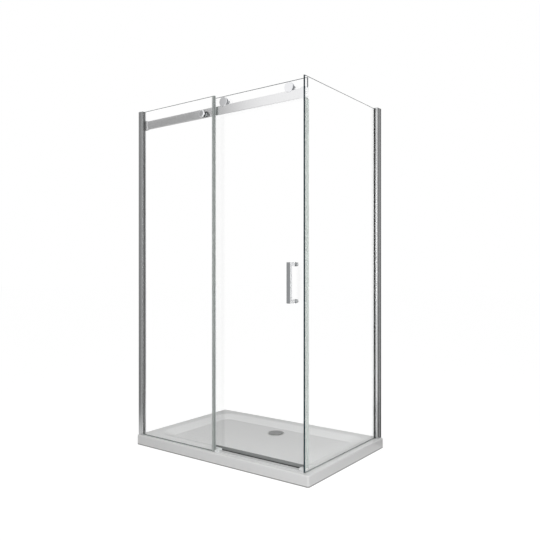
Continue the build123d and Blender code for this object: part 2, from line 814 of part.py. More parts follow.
with BuildPart() as stop_bumpers:
    with BuildSketch(facing(rail_rear)):
        with Locations((closing_face + stop_bumper_t / 2, stop_z),
                       (opening_face - stop_bumper_t / 2, stop_z)):
            Rectangle(stop_bumper_t, stop_top - stop_low)
    extrude(amount=stop_t, dir=BACK)
finish(stop_bumpers, "stop_bumpers")

with BuildPart() as stop_screws:
    with BuildSketch(facing(rail_rear - stop_screw_grip)):
        with Locations(*stop_points):
            Circle(stop_screw_r)
    extrude(amount=stop_screw_grip + stop_t - stop_screw_head_t, dir=BACK)
    with BuildSketch(facing(rail_rear + stop_t - stop_screw_head_t)):
        with Locations(*stop_points):
            Circle(stop_screw_head_r)
    extrude(amount=stop_screw_head_t, dir=BACK)
finish(stop_screws, "stop_screws")

# Strike seal on the side glass, bottom guide on the rim, and the bar that keeps water in, with its
# clear block in the closing corner.
seal_top = rail_low - seal_below_rail
threshold_top = tray_height + threshold_t
end_block_left = side_inner - end_block_length
strike_low = tray_height + end_block_height + strike_clearance
strike_rear = door_front - seal_wall - strike_clearance

with BuildPart() as strike_seal:
    with BuildSketch(Plane.XY.offset(strike_low)):
        span(side_inner - seal_wall, side_inner, strike_rear - seal_wall - strike_leg, strike_rear)
        span(side_inner - strike_fin, side_inner, strike_rear - seal_wall, strike_rear)
    extrude(amount=seal_top - strike_low)
finish(strike_seal, "strike_seal")

with BuildPart() as bottom_guide:
    with BuildSketch(Plane.YZ.offset(guide_left)):
        span(door_mid - cheek_half - guide_toe, door_mid + cheek_half + guide_flange,
             tray_height, guide_base_top)
        span(door_mid - cheek_half, door_mid + cheek_half, guide_base_top, guide_top)
        span(door_mid - liner_half, door_mid + liner_half, guide_base_top, guide_top, Mode.SUBTRACT)
    extrude(amount=guide_length)
    fillet(bottom_guide.edges().group_by(Axis.Z)[-1].filter_by(Axis.X), guide_edge_r)
    with BuildSketch(Plane.XY.offset(tray_height)):
        span(fixed_right + edge_seal_end + guide_foot_gap, guide_right,
             fixed_front + guide_foot_gap, door_mid - cheek_half)
    extrude(amount=guide_foot_height)
    with BuildSketch(Plane.XY.offset(tray_height)):
        with Locations((guide_middle, guide_screw_y)):
            with GridLocations(guide_screw_spread, 1, 2, 1):
                Circle(guide_screw_r + screw_play)
    extrude(amount=guide_base_t, mode=Mode.SUBTRACT)
finish(bottom_guide, "bottom_guide")

with BuildPart() as guide_liners:
    with BuildSketch(Plane.YZ.offset(guide_left)):
        span(door_mid - liner_half, door_mid + liner_half, guide_base_top, guide_top - guide_edge_r)
        span(door_mid - guide_slot / 2, door_mid + guide_slot / 2, guide_base_top, guide_top, Mode.SUBTRACT)
    extrude(amount=guide_length)
finish(guide_liners, "guide_liners")

with BuildPart() as guide_screws:
    with BuildSketch(Plane.XY.offset(guide_base_top)):
        with Locations((guide_middle, guide_screw_y)):
            with GridLocations(guide_screw_spread, 1, 2, 1):
                Circle(guide_screw_head_r)
    extrude(amount=guide_screw_head_t)
    with BuildSketch(Plane.XY.offset(guide_base_top)):
        with Locations((guide_middle, guide_screw_y)):
            with GridLocations(guide_screw_spread, 1, 2, 1):
                Circle(guide_screw_r)
    extrude(amount=-guide_screw_grip)
finish(guide_screws, "guide_screws")

with BuildPart() as threshold_bar:
    with BuildSketch(Plane.YZ.offset(guide_right + threshold_end_gap)):
        span(fixed_front + threshold_front, door_front - threshold_back, tray_height, threshold_top)
    extrude(amount=end_block_left - guide_right - 2 * threshold_end_gap)
    chamfer(threshold_bar.edges().group_by(Axis.Z)[-1].filter_by(Axis.X), threshold_bevel)
finish(threshold_bar, "threshold_bar")

with BuildPart() as threshold_end_block:
    with BuildSketch(Plane.XY.offset(tray_height)):
        span(end_block_left, side_inner, fixed_front + end_block_front, door_front - threshold_back)
    extrude(amount=end_block_height)
    chamfer(threshold_end_block.edges().group_by(Axis.Z)[-1], end_block_edge)
finish(threshold_end_block, "threshold_end_block")

# The sliding door: its glass, and the clear seals pushed over three of its edges.
handle_right = door_right - handle_from_edge
post_x = handle_right - handle_post / 2
post_rise = (handle_length - handle_post) / 2
handle_points = [(post_x, handle_height - post_rise), (post_x, handle_height + post_rise)]
roller_points = [(left_roller_x, axle_z), (right_roller_x, axle_z)]
seal_foot = door_low + bottom_seal_leg + seal_end_gap

with BuildPart() as door_glass:
    with BuildSketch(facing(door_front)):
        span(door_left, door_right, door_low, glass_top)
    extrude(amount=glass_t, dir=BACK)
    chamfer(door_glass.faces().filter_by(Axis.Y).edges(), glass_arris)
    with BuildSketch(facing(door_front)):
        with Locations(*roller_points):
            Circle(roller_hole_r)
        with Locations(*handle_points):
            Circle(handle_hole_r)
    extrude(amount=glass_t, dir=BACK, mode=Mode.SUBTRACT)
finish(door_glass, "door_glass")

with BuildPart() as door_left_seal:
    with BuildSketch(Plane.XY.offset(seal_foot)):
        seal_end = door_left - edge_seal_end
        span(seal_end, door_left + left_seal_leg, door_front - seal_wall, door_rear + seal_wall)
        span(door_left, door_left + left_seal_leg, door_front, door_rear, Mode.SUBTRACT)
        lip_root = door_left + left_lip_root
        lip_foot = door_front - seal_wall / 2
        lip_tip = lip_root + left_lip_tip
        lip_end = fixed_rear + seal_wall + left_lip_clearance
        with BuildLine():
            Polyline((lip_root, lip_foot), (lip_tip, lip_end), (lip_tip + left_lip_t, lip_end),
                     (lip_root + left_lip_t, lip_foot), close=True)
        make_face()
    extrude(amount=seal_top - seal_foot)
finish(door_left_seal, "door_left_seal")

with BuildPart() as door_closing_seal:
    with BuildSketch(Plane.XY.offset(seal_foot)) as bulb_section:
        bulb_base = door_right + seal_wall
        bulb_end = side_inner - rest_gap
        span(bulb_base, bulb_end, door_front, door_rear)
        fillet(bulb_section.vertices().group_by(Axis.X)[-1], closing_seal_bulb_r)
        span(bulb_base, bulb_end - bulb_wall, door_front + bulb_wall, door_rear - bulb_wall, Mode.SUBTRACT)
        span(door_right - seal_leg, bulb_base, door_front - seal_wall, door_rear + seal_wall)
        span(door_right - seal_leg, door_right, door_front, door_rear, Mode.SUBTRACT)
    extrude(amount=seal_top - seal_foot)
finish(door_closing_seal, "door_closing_seal")

with BuildPart() as door_bottom_seal:
    with BuildSketch(Plane.YZ.offset(door_left)):
        seal_low = door_low - bottom_seal_base
        span(door_front - seal_wall, door_rear + seal_wall, seal_low, door_low + bottom_seal_leg)
        span(door_front, door_rear, door_low, door_low + bottom_seal_leg, Mode.SUBTRACT)
        span(door_mid - bottom_seal_fin_t / 2, door_mid + bottom_seal_fin_t / 2,
             seal_low - bottom_seal_fin_drop, seal_low)
    extrude(amount=door_right - door_left)
finish(door_bottom_seal, "door_bottom_seal")

# Handle: a flat bar on two posts outside, and a round cap behind the glass at each post.
post_rear = door_front - washer_t
bar_rear = post_rear - handle_standoff
inner_cap_front = door_rear + washer_t

with BuildPart() as handle_bar:
    with BuildSketch(facing(bar_rear)):
        span(handle_right - handle_bar_width, handle_right,
             handle_height - handle_length / 2, handle_height + handle_length / 2)
    extrude(amount=handle_bar_t)
    chamfer(handle_bar.edges(), handle_edge)
finish(handle_bar, "handle_bar")

with BuildPart() as handle_posts:
    with BuildSketch(facing(bar_rear)):
        with Locations(*handle_points):
            Rectangle(handle_post, handle_post)
    extrude(amount=handle_standoff, dir=BACK)
    chamfer(handle_posts.edges().filter_by(Axis.Y), handle_edge)
    with BuildSketch(facing(post_rear - handle_screw_grip)):
        with Locations(*handle_points):
            Circle(handle_screw_r + screw_play)
    extrude(amount=handle_screw_grip, dir=BACK, mode=Mode.SUBTRACT)
finish(handle_posts, "handle_posts")

with BuildPart() as handle_inner_caps:
    with BuildSketch(facing(inner_cap_front)):
        with Locations(*handle_points):
            Circle(inner_cap_r)
    extrude(amount=inner_cap_t, dir=BACK)
    fillet(handle_inner_caps.faces().group_by(Axis.Y)[-1].edges(), inner_cap_edge)
    with BuildSketch(facing(inner_cap_front)):
        with Locations(*handle_points):
            Circle(handle_screw_r + screw_play)
    extrude(amount=handle_screw_grip, dir=BACK, mode=Mode.SUBTRACT)
finish(handle_inner_caps, "handle_inner_caps")

with BuildPart() as handle_washers:
    for washer_y in (post_rear, door_rear):
        with BuildSketch(facing(washer_y)):
            with Locations(*handle_points):
                Circle(handle_washer_r)
                Circle(handle_screw_r + bush_play, mode=Mode.SUBTRACT)
        extrude(amount=washer_t, dir=BACK)
finish(handle_washers, "handle_washers")

with BuildPart() as handle_bushes:
    with BuildSketch(facing(door_front)):
        with Locations(*handle_points):
            Circle(handle_hole_r - bush_play)
            Circle(handle_screw_r + bush_play, mode=Mode.SUBTRACT)
    extrude(amount=glass_t, dir=BACK)
finish(handle_bushes, "handle_bushes")

with BuildPart() as handle_screws:
    with BuildSketch(facing(post_rear - handle_screw_grip)):
        with Locations(*handle_points):
            Circle(handle_screw_r)
    extrude(amount=inner_cap_front - post_rear + 2 * handle_screw_grip, dir=BACK)
finish(handle_screws, "handle_screws")

# Roller carriers on the door: an axle through the glass, clamped between its collar and a back cap.
wheel_half = wheel_width / 2
groove_half = rail_t / 2 + wheel_side_play
bearing_rear = wheel_half - bearing_sink
bearing_front = bearing_rear - bearing_t
nut_rear = rail_mid + bearing_front - rest_gap
nut_front = nut_rear - nut_t
collar_front = rail_mid + bearing_rear + rest_gap
collar_rear = door_front - washer_t
back_cap_front = door_rear + washer_t
axle_rear = back_cap_front + back_cap_grip

with BuildPart() as roller_axles:
    with BuildSketch(facing(nut_front)):
        with Locations(*roller_points):
            Circle(axle_r)
    extrude(amount=axle_rear - nut_front, dir=BACK)
    with BuildSketch(facing(collar_front)):
        with Locations(*roller_points):
            Circle(collar_r)
    extrude(amount=collar_rear - collar_front, dir=BACK)
finish(roller_axles, "roller_axles")

with BuildPart() as roller_nuts:
    with BuildSketch(facing(nut_front)):
        with Locations(*roller_points):
            RegularPolygon(nut_r, 6)
            Circle(axle_r, mode=Mode.SUBTRACT)
    extrude(amount=nut_t, dir=BACK)
finish(roller_nuts, "roller_nuts")

with BuildPart() as roller_washers:
    for washer_y in (collar_rear, door_rear):
        with BuildSketch(facing(washer_y)):
            with Locations(*roller_points):
                Circle(roller_washer_r)
                Circle(axle_r + bush_play, mode=Mode.SUBTRACT)
        extrude(amount=washer_t, dir=BACK)
finish(roller_washers, "roller_washers")

with BuildPart() as roller_bushes:
    with BuildSketch(facing(door_front)):
        with Locations(*roller_points):
            Circle(roller_hole_r - bush_play)
            Circle(axle_r + bush_play, mode=Mode.SUBTRACT)
    extrude(amount=glass_t, dir=BACK)
finish(roller_bushes, "roller_bushes")

with BuildPart() as roller_back_caps:
    with BuildSketch(facing(back_cap_front)):
        with Locations(*roller_points):
            Circle(back_cap_r)
    extrude(amount=back_cap_t, dir=BACK)
    fillet(roller_back_caps.faces().group_by(Axis.Y)[-1].edges(), back_cap_edge)
    with BuildSketch(facing(back_cap_front)):
        with Locations(*roller_points):
            Circle(axle_r + screw_play)
    extrude(amount=back_cap_grip, dir=BACK, mode=Mode.SUBTRACT)
finish(roller_back_caps, "roller_back_caps")

# Each roller is turned: two flanges guide it on the rail, a rubber tyre runs on the rail's top edge,
# and a ball bearing behind its closed front turns on the axle.
tyre_outer_r = wheel_tread_r - tyre_play
core_r = tyre_outer_r - tyre_t

for side, roller_x in (("left", left_roller_x), ("right", right_roller_x)):
    wheel_section = Plane(origin=(roller_x, rail_mid, axle_z), x_dir=(1, 0, 0), z_dir=UP)
    wheel_axis = Axis((roller_x, rail_mid, axle_z), BACK)

    with BuildPart() as wheel:
        with BuildSketch(wheel_section):
            with BuildLine():
                Polyline((0, -wheel_half), (wheel_flange_r - wheel_edge, -wheel_half),
                         (wheel_flange_r, wheel_edge - wheel_half), (wheel_flange_r, -groove_half),
                         (core_r, -groove_half), (core_r, groove_half), (wheel_flange_r, groove_half),
                         (wheel_flange_r, wheel_half - wheel_edge),
                         (wheel_flange_r - wheel_edge, wheel_half), (bearing_r, wheel_half),
                         (bearing_r, bearing_front), (nut_cavity_r, bearing_front),
                         (nut_cavity_r, wheel_front_t - wheel_half),
                         (0, wheel_front_t - wheel_half), close=True)
            make_face()
        revolve(axis=wheel_axis)
    finish(wheel, f"{side}_wheel")

    with BuildPart() as tyre:
        with BuildSketch(wheel_section) as tyre_section:
            span(core_r, tyre_outer_r, -groove_half, groove_half)
            chamfer(tyre_section.vertices().group_by(Axis.X)[-1], tyre_edge)
        revolve(axis=wheel_axis)
    finish(tyre, f"{side}_tyre")

    with BuildPart() as bearing:
        with BuildSketch(wheel_section):
            span(axle_r + axle_play, bearing_r, bearing_front, bearing_rear)
            span(bearing_shield_in, bearing_shield_out, bearing_front,
                 bearing_front + bearing_shield_sink, Mode.SUBTRACT)
            span(bearing_shield_in, bearing_shield_out, bearing_rear - bearing_shield_sink,
                 bearing_rear, Mode.SUBTRACT)
        revolve(axis=wheel_axis)
    finish(bearing, f"{side}_bearing")
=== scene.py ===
import bmesh
import bpy
from math import radians
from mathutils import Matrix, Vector


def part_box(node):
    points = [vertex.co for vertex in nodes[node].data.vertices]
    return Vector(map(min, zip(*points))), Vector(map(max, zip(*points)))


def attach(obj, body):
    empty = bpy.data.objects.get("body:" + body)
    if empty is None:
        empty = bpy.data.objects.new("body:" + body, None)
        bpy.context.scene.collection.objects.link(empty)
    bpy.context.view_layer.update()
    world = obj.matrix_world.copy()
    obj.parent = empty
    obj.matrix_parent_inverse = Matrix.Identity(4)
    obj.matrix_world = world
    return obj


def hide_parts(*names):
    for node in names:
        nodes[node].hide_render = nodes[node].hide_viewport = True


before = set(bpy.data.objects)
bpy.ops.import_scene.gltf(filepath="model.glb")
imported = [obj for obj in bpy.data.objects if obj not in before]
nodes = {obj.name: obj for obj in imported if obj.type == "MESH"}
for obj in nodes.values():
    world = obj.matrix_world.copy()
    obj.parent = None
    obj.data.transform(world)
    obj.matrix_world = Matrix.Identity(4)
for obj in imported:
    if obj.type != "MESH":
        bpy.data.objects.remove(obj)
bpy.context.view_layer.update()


# Shower tray: vacuum-formed white acrylic sheet, backed with resin. It stands on the floor and
# carries all the rest. Drawn sheet gives a smooth, soft gloss with a faint, slow waviness, and a
# thin grey line along the skirt's foot is painted shade where the tray meets the floor.
def linear(hex_colour):
    """An sRGB colour such as "c8c9ca" as the linear colour that a shader takes."""
    shares = [int(hex_colour[i:i + 2], 16) / 255 for i in (0, 2, 4)]
    return [s / 12.92 if s <= 0.04045 else ((s + 0.055) / 1.055) ** 2.4 for s in shares] + [1.0]


def new_finish(name):
    """A new empty material and its node tree."""
    finish = bpy.data.materials.new(name)
    finish.use_nodes = True
    finish.node_tree.nodes.clear()
    return finish, finish.node_tree


def put(tree, kind, inputs=None, **settings):
    """Adds a node with its settings. Each input is a value, or the socket that feeds it."""
    made = tree.nodes.new(kind)
    for name, value in settings.items():
        setattr(made, name, value)
    for name, value in (inputs or {}).items():
        if isinstance(value, bpy.types.NodeSocket):
            tree.links.new(value, made.inputs[name])
        else:
            made.inputs[name].default_value = value
    return made


crease = radians(35)


def dress(finish, *pieces):
    """Gives modelled pieces a finish, smooth over their round stretches and sharp at their edges."""
    for piece in pieces:
        mesh = nodes[piece].data
        mesh.materials.clear()
        mesh.materials.append(finish)
        mesh.shade_smooth()
        mesh.set_sharp_from_angle(angle=crease)


# The bottom 4.5 mm of the tray's skirt fades to grey: painted shade along the tray's foot.
painted_shade_height = 0.0045
painted_shade_fade = 0.0015
acrylic, tree = new_finish("drawn_acrylic_sheet")
place = put(tree, "ShaderNodeTexCoord").outputs["Object"]
wave = put(tree, "ShaderNodeTexNoise", {"Vector": place, "Scale": 1 / 0.06, "Detail": 1.0})
cloud = put(tree, "ShaderNodeTexNoise", {"Vector": place, "Scale": 1 / 0.25, "Detail": 1.0})
tone = put(tree, "ShaderNodeMix", {0: cloud.outputs["Fac"], 6: linear("dedede"), 7: linear("e2e2e2")},
           data_type="RGBA")
height = put(tree, "ShaderNodeSeparateXYZ", {0: place}).outputs["Z"]
foot_shade = put(tree, "ShaderNodeMapRange", {"Value": height, "From Min": painted_shade_height,
                                        "From Max": painted_shade_height + painted_shade_fade})
tone = put(tree, "ShaderNodeMix", {0: foot_shade.outputs["Result"], 6: linear("8f8f8d"), 7: tone.outputs[2]},
           data_type="RGBA")
skin = put(tree, "ShaderNodeBump", {"Height": wave.outputs["Fac"], "Strength": 0.04, "Distance": 0.002})
shader = put(tree, "ShaderNodeBsdfPrincipled", {"Base Color": tone.outputs[2], "Roughness": 0.25,
                                                "IOR": 1.49, "Normal": skin.outputs[0]})
put(tree, "ShaderNodeOutputMaterial", {"Surface": shader.outputs[0]})
dress(acrylic, "shower_tray")

# Waste cover: pressed from stainless sheet, domed, and blasted to a dull satin. It stands loose on
# three feet, and lifts out for cleaning. Its blasted grain is drawn 4 mm wide, so that it shows.
pressed_steel, tree = new_finish("pressed_stainless_steel")
place = put(tree, "ShaderNodeTexCoord").outputs["Object"]
grain = put(tree, "ShaderNodeTexNoise", {"Vector": place, "Scale": 1 / 0.004, "Detail": 2.0})
rough = put(tree, "ShaderNodeMapRange", {"Value": grain.outputs["Fac"], "To Min": 0.26, "To Max": 0.4})
tone = put(tree, "ShaderNodeMix", {0: grain.outputs["Fac"], 6: linear("8a8b8b"), 7: linear("9c9d9d")},
           data_type="RGBA")
shader = put(tree, "ShaderNodeBsdfPrincipled", {"Base Color": tone.outputs[2], "Metallic": 1.0,
                                                "Roughness": rough.outputs["Result"]})
put(tree, "ShaderNodeOutputMaterial", {"Surface": shader.outputs[0]})
dress(pressed_steel, "drain_cover")

# Waste: its flange, body and hair strainer are moulded polypropylene, off-white and dull, with a
# spark texture from the mould, drawn 1 mm wide where the real one is finer. The flange is screwed
# down, with a rubber ring under the tray.
moulded, tree = new_finish("moulded_polypropylene")
place = put(tree, "ShaderNodeTexCoord").outputs["Object"]
spark = put(tree, "ShaderNodeTexNoise", {"Vector": place, "Scale": 1 / 0.001})
skin = put(tree, "ShaderNodeBump", {"Height": spark.outputs["Fac"], "Strength": 0.1, "Distance": 0.0002})
tone = put(tree, "ShaderNodeMix", {0: spark.outputs["Fac"], 6: linear("cfcfcc"), 7: linear("d8d8d6")},
           data_type="RGBA")
shader = put(tree, "ShaderNodeBsdfPrincipled", {"Base Color": tone.outputs[2], "Roughness": 0.45,
                                                "IOR": 1.49, "Normal": skin.outputs[0]})
put(tree, "ShaderNodeOutputMaterial", {"Surface": shader.outputs[0]})
dress(moulded, "waste_flange", "waste_body", "hair_strainer")

# Wall profiles: aluminium extrusions, polished and then anodised, cut to the glass's height and
# capped. The die leaves fine lines up their length, here 1.5 mm apart to show, and anodising turns
# the polish a soft grey.
anodised, tree = new_finish("polished_anodised_aluminium")
place = put(tree, "ShaderNodeTexCoord").outputs["Object"]
drawn = put(tree, "ShaderNodeMapping", {"Vector": place, "Scale": (1 / 0.0015, 1 / 0.0015, 1 / 0.4)})
lines = put(tree, "ShaderNodeTexNoise", {"Vector": drawn.outputs[0], "Scale": 1.0, "Detail": 1.0})
rough = put(tree, "ShaderNodeMapRange", {"Value": lines.outputs["Fac"], "To Min": 0.14, "To Max": 0.24})
tone = put(tree, "ShaderNodeMix", {0: lines.outputs["Fac"], 6: linear("cacbcc"), 7: linear("dadbdb")},
           data_type="RGBA")
shader = put(tree, "ShaderNodeBsdfPrincipled", {"Base Color": tone.outputs[2], "Metallic": 1.0,
                                                "Roughness": rough.outputs["Result"]})
put(tree, "ShaderNodeOutputMaterial", {"Surface": shader.outputs[0]})
dress(anodised, "left_wall_channel", "right_wall_channel", "left_glass_profile", "right_glass_profile",
      "left_profile_cap", "right_profile_cap")

# Gaskets, pads, collars and bumpers: extruded and moulded EPDM rubber, black, with the dull bloom
# that fresh rubber has.
rubber, tree = new_finish("black_epdm_rubber")
place = put(tree, "ShaderNodeTexCoord").outputs["Object"]
bloom = put(tree, "ShaderNodeTexNoise", {"Vector": place, "Scale": 1 / 0.01, "Detail": 3.0})
rough = put(tree, "ShaderNodeMapRange", {"Value": bloom.outputs["Fac"], "To Min": 0.45, "To Max": 0.65})
tone = put(tree, "ShaderNodeMix", {0: bloom.outputs["Fac"], 6: linear("191a1b"), 7: linear("232526")},
           data_type="RGBA")
shader = put(tree, "ShaderNodeBsdfPrincipled", {"Base Color": tone.outputs[2], "IOR": 1.5,
                                                "Roughness": rough.outputs["Result"]})
put(tree, "ShaderNodeOutputMaterial", {"Surface": shader.outputs[0]})
dress(rubber, "glass_gaskets", "rail_wall_pad", "clamp_washers", "stop_bumpers", "waste_seal_ring",
      "guide_liners")

# Glass: 8 mm toughened float glass with ground and polished edges. The faces are clear. The edges
# show the glass's own sea green, because light comes to them the long way through the pane. Each
# pane is the modelled one, cut along its edge bands and a hair thinner than its rubber grip.
clear_glass, tree = new_finish("clear_float_glass")
path = put(tree, "ShaderNodeLightPath")
pane = put(tree, "ShaderNodeBsdfPrincipled", {"Base Color": (1, 1, 1, 1), "Transmission Weight": 1.0,
                                              "Roughness": 0.0, "IOR": 1.45})
lamp_light = put(tree, "ShaderNodeBsdfTransparent", {"Color": (0.95, 0.97, 0.96, 1)})
surface = put(tree, "ShaderNodeMixShader", {0: path.outputs["Is Shadow Ray"], 1: pane.outputs[0],
                                            2: lamp_light.outputs[0]})
put(tree, "ShaderNodeOutputMaterial", {"Surface": surface.outputs[0]})

glass_edge, tree = new_finish("polished_glass_edge")
place = put(tree, "ShaderNodeTexCoord").outputs["Object"]
streak = put(tree, "ShaderNodeMapping", {"Vector": place, "Scale": (1 / 0.003, 1 / 0.003, 1 / 0.25)})
depth = put(tree, "ShaderNodeTexNoise", {"Vector": streak.outputs[0], "Scale": 1.0, "Detail": 2.0})
tone = put(tree, "ShaderNodeMix", {0: depth.outputs["Fac"], 6: linear("0c232a"), 7: linear("1c363d")},
           data_type="RGBA")
shader = put(tree, "ShaderNodeBsdfPrincipled", {"Base Color": tone.outputs[2], "Roughness": 0.12,
                                                "IOR": 1.5, "Specular IOR Level": 0.3})
put(tree, "ShaderNodeOutputMaterial", {"Surface": shader.outputs[0]})

hair = 0.00015
foot_band = 0.001
top_band = 0.0016
for name, body, across, start_band, end_band in (("fixed_glass", "enclosure_frame", 1, 0.003, 0.0006),
                                                 ("side_glass", "enclosure_frame", 0, 0.003, 0.003),
                                                 ("door_glass", "sliding_door", 1, 0.004, 0.003)):
    along = 1 - across
    low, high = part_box(name)
    cut_pane = bmesh.new()
    cut_pane.from_mesh(nodes[name].data)
    for corner in cut_pane.verts:
        corner.co[across] += hair if corner.co[across] < (low[across] + high[across]) / 2 else -hair
    bands = {along: (low[along] + start_band, high[along] - end_band),
             2: (low[2] + foot_band, high[2] - top_band)}
    for axis in (along, 2):
        for reach in bands[axis]:
            direction = Vector([1.0 if step == axis else 0.0 for step in range(3)])
            whole = cut_pane.verts[:] + cut_pane.edges[:] + cut_pane.faces[:]
            bmesh.ops.bisect_plane(cut_pane, geom=whole, plane_co=direction * reach, plane_no=direction)
    for face in cut_pane.faces:
        middle = face.calc_center_median()
        within_bands = all(bands[axis][0] < middle[axis] < bands[axis][1] for axis in (along, 2))
        under_foot = middle[2] < low[2] + hair
        face.material_index = 0 if within_bands or under_foot else 1
        face.smooth = False
    mesh = bpy.data.meshes.new(name + "_pane")
    cut_pane.to_mesh(mesh)
    cut_pane.free()
    mesh.materials.append(clear_glass)
    mesh.materials.append(glass_edge)
    glass = bpy.data.objects.new(name + "_pane", mesh)
    bpy.context.scene.collection.objects.link(glass)
    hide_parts(name)
    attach(glass, body)

# Edge seal of the fixed glass: clear extruded vinyl, pushed over the edge. Its several walls lie one
# behind another, so it looks grey-green, with slow draw lines along its length.
clear_vinyl, tree = new_finish("clear_extruded_vinyl")
place = put(tree, "ShaderNodeTexCoord").outputs["Object"]
drawn = put(tree, "ShaderNodeMapping", {"Vector": place, "Scale": (1 / 0.004, 1 / 0.004, 1 / 0.3)})
haze = put(tree, "ShaderNodeTexNoise", {"Vector": drawn.outputs[0], "Scale": 1.0, "Detail": 1.0})
rough = put(tree, "ShaderNodeMapRange", {"Value": haze.outputs["Fac"], "To Min": 0.2, "To Max": 0.35})
tone = put(tree, "ShaderNodeMix", {0: haze.outputs["Fac"], 6: linear("b4bab7"), 7: linear("c4c9c7")},
           data_type="RGBA")
shader = put(tree, "ShaderNodeBsdfPrincipled", {"Base Color": tone.outputs[2], "IOR": 1.45,
                                                "Roughness": rough.outputs["Result"]})
clear = put(tree, "ShaderNodeBsdfTransparent")
surface = put(tree, "ShaderNodeMixShader", {0: 0.5, 1: clear.outputs[0], 2: shader.outputs[0]})
put(tree, "ShaderNodeOutputMaterial", {"Surface": surface.outputs[0]})
dress(clear_vinyl, "fixed_glass_edge_seal")

# Door and strike seals, sill strips and the clamp's rear washer: soft vinyl, extruded or punched
# water-clear. It is paler than the edge seal, and light goes almost straight through.
soft_vinyl, tree = new_finish("water_clear_soft_vinyl")
place = put(tree, "ShaderNodeTexCoord").outputs["Object"]
drawn = put(tree, "ShaderNodeMapping", {"Vector": place, "Scale": (1 / 0.004, 1 / 0.004, 1 / 0.3)})
haze = put(tree, "ShaderNodeTexNoise", {"Vector": drawn.outputs[0], "Scale": 1.0, "Detail": 1.0})
rough = put(tree, "ShaderNodeMapRange", {"Value": haze.outputs["Fac"], "To Min": 0.2, "To Max": 0.35})
tone = put(tree, "ShaderNodeMix", {0: haze.outputs["Fac"], 6: linear("ccd3cf"), 7: linear("d6ddd9")},
           data_type="RGBA")
shader = put(tree, "ShaderNodeBsdfPrincipled", {"Base Color": tone.outputs[2], "IOR": 1.45,
                                                "Roughness": rough.outputs["Result"]})
clear = put(tree, "ShaderNodeBsdfTransparent")
surface = put(tree, "ShaderNodeMixShader", {0: 0.35, 1: clear.outputs[0], 2: shader.outputs[0]})
put(tree, "ShaderNodeOutputMaterial", {"Surface": surface.outputs[0]})
dress(soft_vinyl, "fixed_glass_sill", "side_glass_sill", "strike_seal", "door_left_seal",
      "door_closing_seal")
washers = nodes["clamp_washers"].data
washers.materials.append(soft_vinyl)
slack = 0.001
glass_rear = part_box("fixed_glass")[1][1]
for face in washers.polygons:
    face.material_index = 1 if face.center.y > glass_rear - slack else 0

# Thin lips on the profiles' narrow side: milky white vinyl, extruded with the gaskets, so that
# nothing dark shows through the panes. It is dull, and scatters light like thin milk.
milky_vinyl, tree = new_finish("milky_extruded_vinyl")
place = put(tree, "ShaderNodeTexCoord").outputs["Object"]
drawn = put(tree, "ShaderNodeMapping", {"Vector": place, "Scale": (1 / 0.004, 1 / 0.004, 1 / 0.3)})
haze = put(tree, "ShaderNodeTexNoise", {"Vector": drawn.outputs[0], "Scale": 1.0, "Detail": 1.0})
rough = put(tree, "ShaderNodeMapRange", {"Value": haze.outputs["Fac"], "To Min": 0.3, "To Max": 0.45})
tone = put(tree, "ShaderNodeMix", {0: haze.outputs["Fac"], 6: linear("d8dad9"), 7: linear("e0e2e1")},
           data_type="RGBA")
shader = put(tree, "ShaderNodeBsdfPrincipled", {"Base Color": tone.outputs[2], "IOR": 1.45,
                                                "Roughness": rough.outputs["Result"]})
put(tree, "ShaderNodeOutputMaterial", {"Surface": shader.outputs[0]})
lips = nodes["glass_gaskets"].data
lips.materials.append(milky_vinyl)
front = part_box("fixed_glass")[0][1]
inner_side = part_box("side_glass")[0][0]
for face in lips.polygons:
    narrow = face.center.y < front or 0 < face.center.x < inner_side
    face.material_index = 1 if narrow else 0

# Rail: flat stainless bar, ground lengthwise to a bright satin face. The grinding lines are long,
# and give a soft, slightly streaky mirror. They are drawn 0.8 mm apart, coarser than real ones.
ground_steel, tree = new_finish("ground_stainless_bar")
place = put(tree, "ShaderNodeTexCoord").outputs["Object"]
ground = put(tree, "ShaderNodeMapping", {"Vector": place, "Scale": (1 / 0.15, 1 / 0.0008, 1 / 0.0008)})
lines = put(tree, "ShaderNodeTexNoise", {"Vector": ground.outputs[0], "Scale": 1.0, "Detail": 2.0})
rough = put(tree, "ShaderNodeMapRange", {"Value": lines.outputs["Fac"], "To Min": 0.14, "To Max": 0.24})
tone = put(tree, "ShaderNodeMix", {0: lines.outputs["Fac"], 6: linear("e8e8e9"), 7: linear("f4f4f5")},
           data_type="RGBA")
shader = put(tree, "ShaderNodeBsdfPrincipled", {"Base Color": tone.outputs[2], "Metallic": 1.0,
                                                "Roughness": rough.outputs["Result"]})
put(tree, "ShaderNodeOutputMaterial", {"Surface": shader.outputs[0]})
dress(ground_steel, "slide_rail")

# Left-hand socket: cast and ground like the rail, with its foot dipped in black rubber where it
# meets the wall profile. The dip is dull, and stops at a straight line.
socket_foot = 0.009
dip_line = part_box("rail_wall_bracket")[0][0] + socket_foot
cut_socket = bmesh.new()
cut_socket.from_mesh(nodes["rail_wall_bracket"].data)
whole = cut_socket.verts[:] + cut_socket.edges[:] + cut_socket.faces[:]
bmesh.ops.bisect_plane(cut_socket, geom=whole, plane_co=(dip_line, 0, 0), plane_no=(1, 0, 0))
for face in cut_socket.faces:
    face.material_index = 1 if face.calc_center_median().x < dip_line else 0
mesh = bpy.data.meshes.new("socket_with_dipped_foot")
cut_socket.to_mesh(mesh)
cut_socket.free()
mesh.materials.append(ground_steel)
mesh.materials.append(rubber)
mesh.shade_smooth()
mesh.set_sharp_from_angle(angle=crease)
socket = bpy.data.objects.new("socket_with_dipped_foot", mesh)
bpy.context.scene.collection.objects.link(socket)
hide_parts("rail_wall_bracket")
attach(socket, "enclosure_frame")

